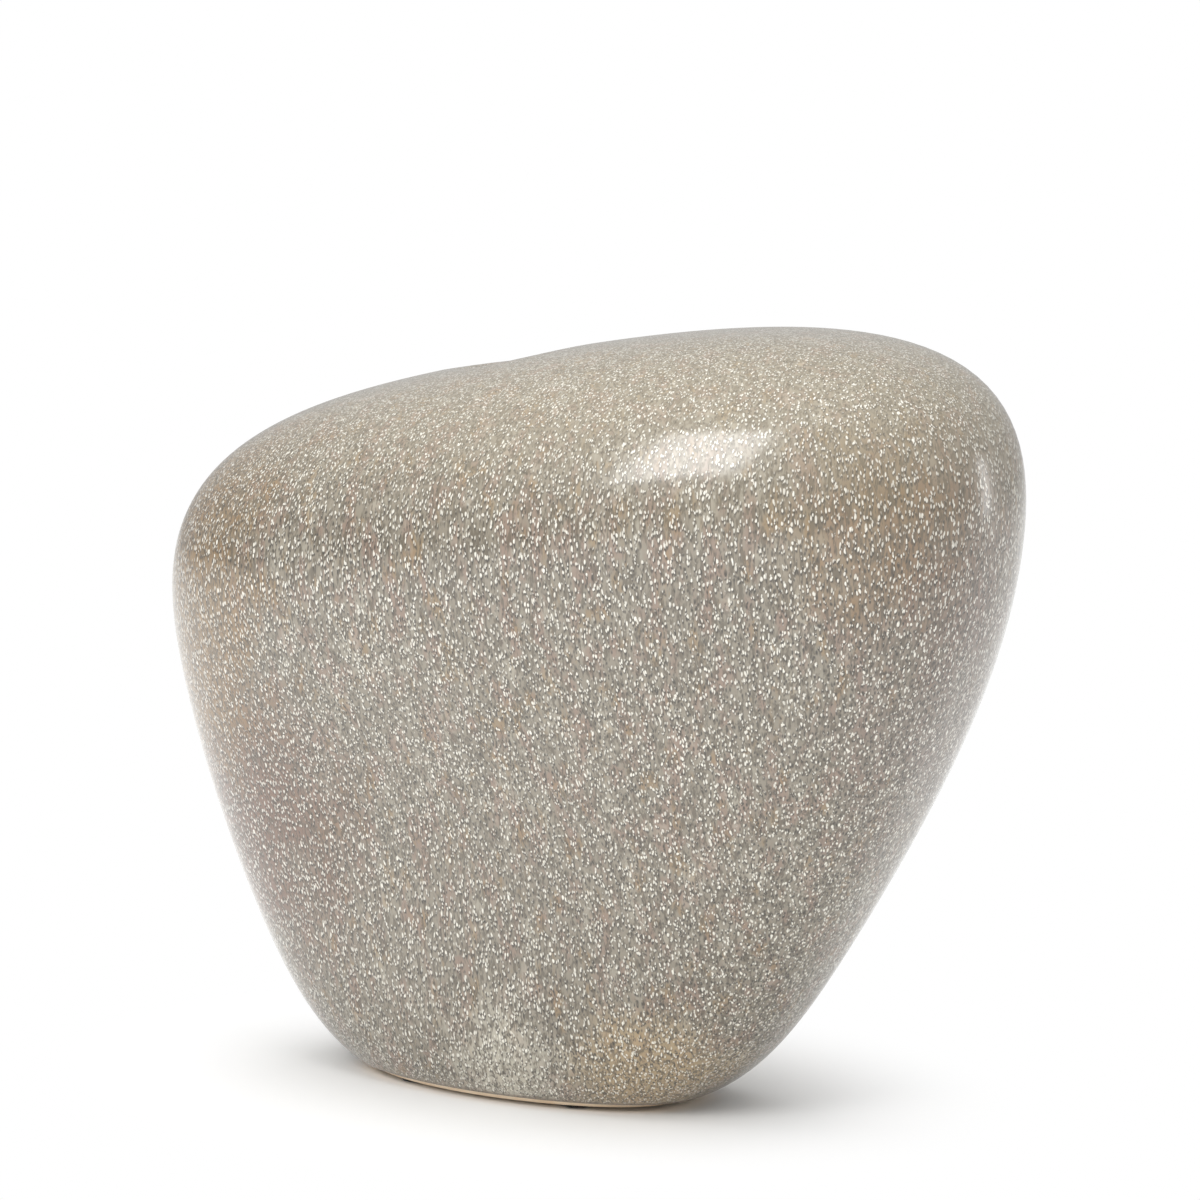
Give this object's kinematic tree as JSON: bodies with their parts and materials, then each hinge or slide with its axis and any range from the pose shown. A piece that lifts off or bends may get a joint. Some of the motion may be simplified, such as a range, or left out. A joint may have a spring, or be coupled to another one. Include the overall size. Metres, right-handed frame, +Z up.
{
  "type": "pillow vase",
  "caption": "Leaning, flattened pebble-shaped stoneware vase with a speckled grey-beige glaze, a small round mouth in its sloping crown and a narrow bare clay foot.",
  "frame": {"origin": "on the table plane, under the middle of the vase's bounding box", "axes": "+X along the length towards the higher shoulder, +Y towards the back face, +Z up"},
  "size_m": [0.26, 0.1358, 0.2182],
  "materials": {
    "stoneware": "bare fired clay, matt and fine-grained",
    "speckled_glaze": "glossy reactive glaze, grey-beige with pale speckles, mauve and tan clouds and a slightly pitted surface",
    "liner_glaze": "plain glossy cream liner glaze",
    "felt": "dark felt pad"
  },
  "bodies": {
    "root": {"stoneware_body": "stoneware", "outer_glaze": "speckled_glaze", "liner_glaze": "liner_glaze", "felt_pad_1": "felt", "felt_pad_2": "felt", "felt_pad_3": "felt", "felt_pad_4": "felt"}
  },
  "joints": []
}
